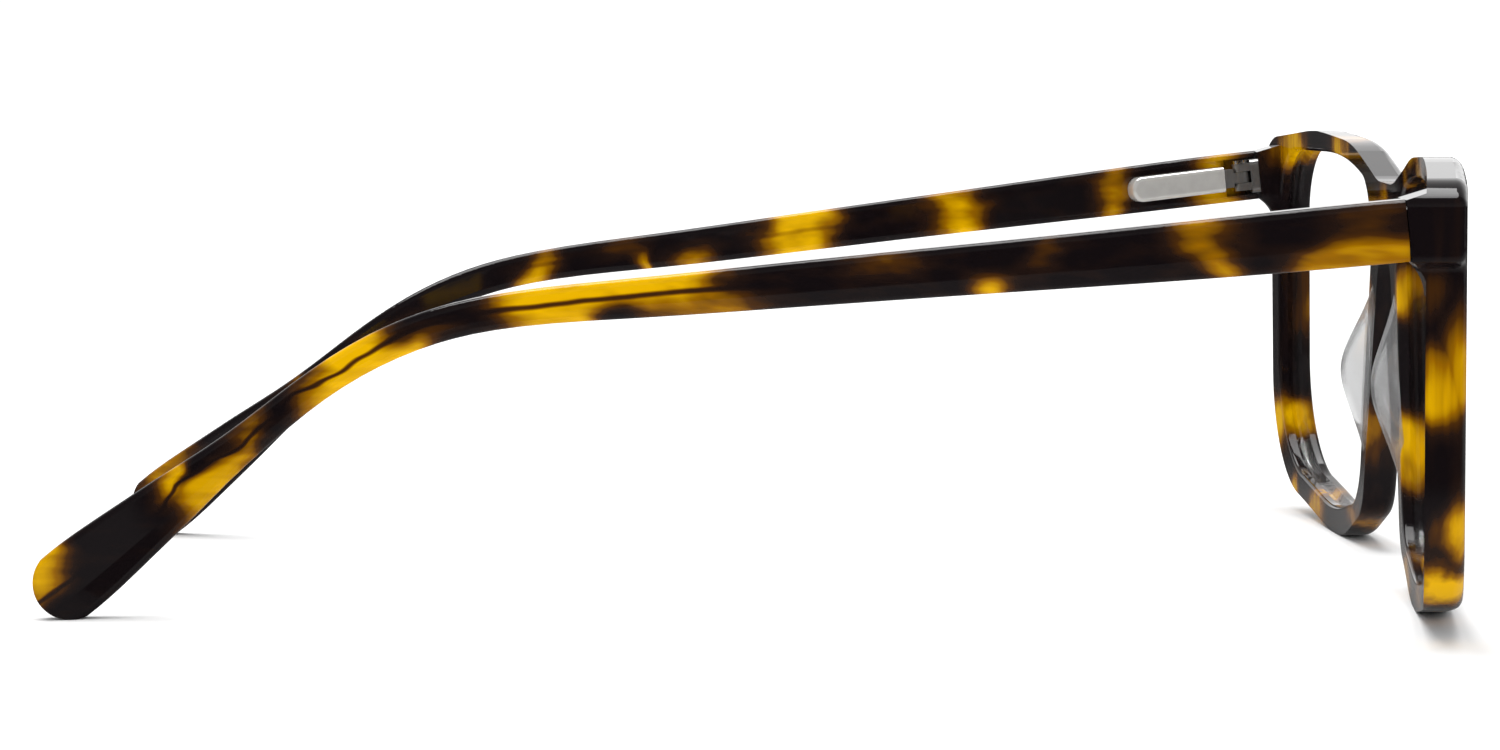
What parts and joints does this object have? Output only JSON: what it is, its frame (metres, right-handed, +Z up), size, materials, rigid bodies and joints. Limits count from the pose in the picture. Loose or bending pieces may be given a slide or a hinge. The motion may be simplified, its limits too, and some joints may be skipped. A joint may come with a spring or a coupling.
{
  "type": "rectangular eyeglasses",
  "caption": "Rectangular full-rim eyeglasses with thick tortoise plastic temples, clear nose pads and sprung hinges, worn to correct sight.",
  "frame": {"origin": "on the table, under the middle of the bounding box", "axes": "+X to the wearer's left, -Y to the front, the way the wearer looks, +Z up"},
  "size_m": [0.139, 0.1436, 0.0459],
  "materials": {
    "tortoise_acetate": "polished",
    "clear_acetate": "polished, clear plastic",
    "lens_glass": "polished, clear",
    "bright_metal": "polished",
    "hinge_metal": "satin"
  },
  "bodies": {
    "front": {"front_frame": "tortoise_acetate", "lens_left": "lens_glass", "lens_right": "lens_glass", "nose_pad_left": "clear_acetate", "nose_pad_right": "clear_acetate", "hinge_leaf_left": "hinge_metal", "hinge_leaf_right": "hinge_metal"},
    "screw_left": {"hinge_screw_left": "bright_metal"},
    "slider_left": {"hinge_slider_left": "hinge_metal", "spring_cap_left": "hinge_metal"},
    "arm_left": {"temple_left": "tortoise_acetate", "spring_case_left": "bright_metal", "spring_retainer_left": "hinge_metal", "hinge_spring_left": "hinge_metal", "core_wire_left": "hinge_metal"},
    "screw_right": {"hinge_screw_right": "bright_metal"},
    "slider_right": {"hinge_slider_right": "hinge_metal", "spring_cap_right": "hinge_metal"},
    "arm_right": {"temple_right": "tortoise_acetate", "spring_case_right": "bright_metal", "spring_retainer_right": "hinge_metal", "hinge_spring_right": "hinge_metal", "core_wire_right": "hinge_metal"}
  },
  "joints": [
    {"name": "fold_left", "type": "hinge", "parent": "front", "child": "screw_left", "pos_m": [0.0648, -0.05915, 0.03973], "axis": [0, 0.1045, 0.9945], "range_deg": [0, 77]},
    {"name": "flex_left", "type": "hinge", "parent": "screw_left", "child": "slider_left", "pos_m": [0.0648, -0.05915, 0.03973], "axis": [0, 0.1045, 0.9945], "range_deg": [-5, 0], "stiffness_Nm_per_rad": 0.6},
    {"name": "draw_left", "type": "slide", "parent": "slider_left", "child": "arm_left", "axis": [-0.2504, 0.9628, -0.1012], "range_m": [0, 0.0004363], "deforming": ["hinge_spring_left"]},
    {"name": "fold_right", "type": "hinge", "parent": "front", "child": "screw_right", "pos_m": [-0.0648, -0.05915, 0.03973], "axis": [0, -0.1045, -0.9945], "range_deg": [0, 64.5]},
    {"name": "flex_right", "type": "hinge", "parent": "screw_right", "child": "slider_right", "pos_m": [-0.0648, -0.05915, 0.03973], "axis": [0, -0.1045, -0.9945], "range_deg": [-5, 0], "stiffness_Nm_per_rad": 0.6},
    {"name": "draw_right", "type": "slide", "parent": "slider_right", "child": "arm_right", "axis": [0.2504, 0.9628, -0.1012], "range_m": [0, 0.0004363], "deforming": ["hinge_spring_right"]}
  ],
  "couplings": [
    {"joint": "draw_left", "follows": "flex_left", "m_per_rad": -0.005},
    {"joint": "draw_right", "follows": "flex_right", "m_per_rad": -0.005}
  ]
}
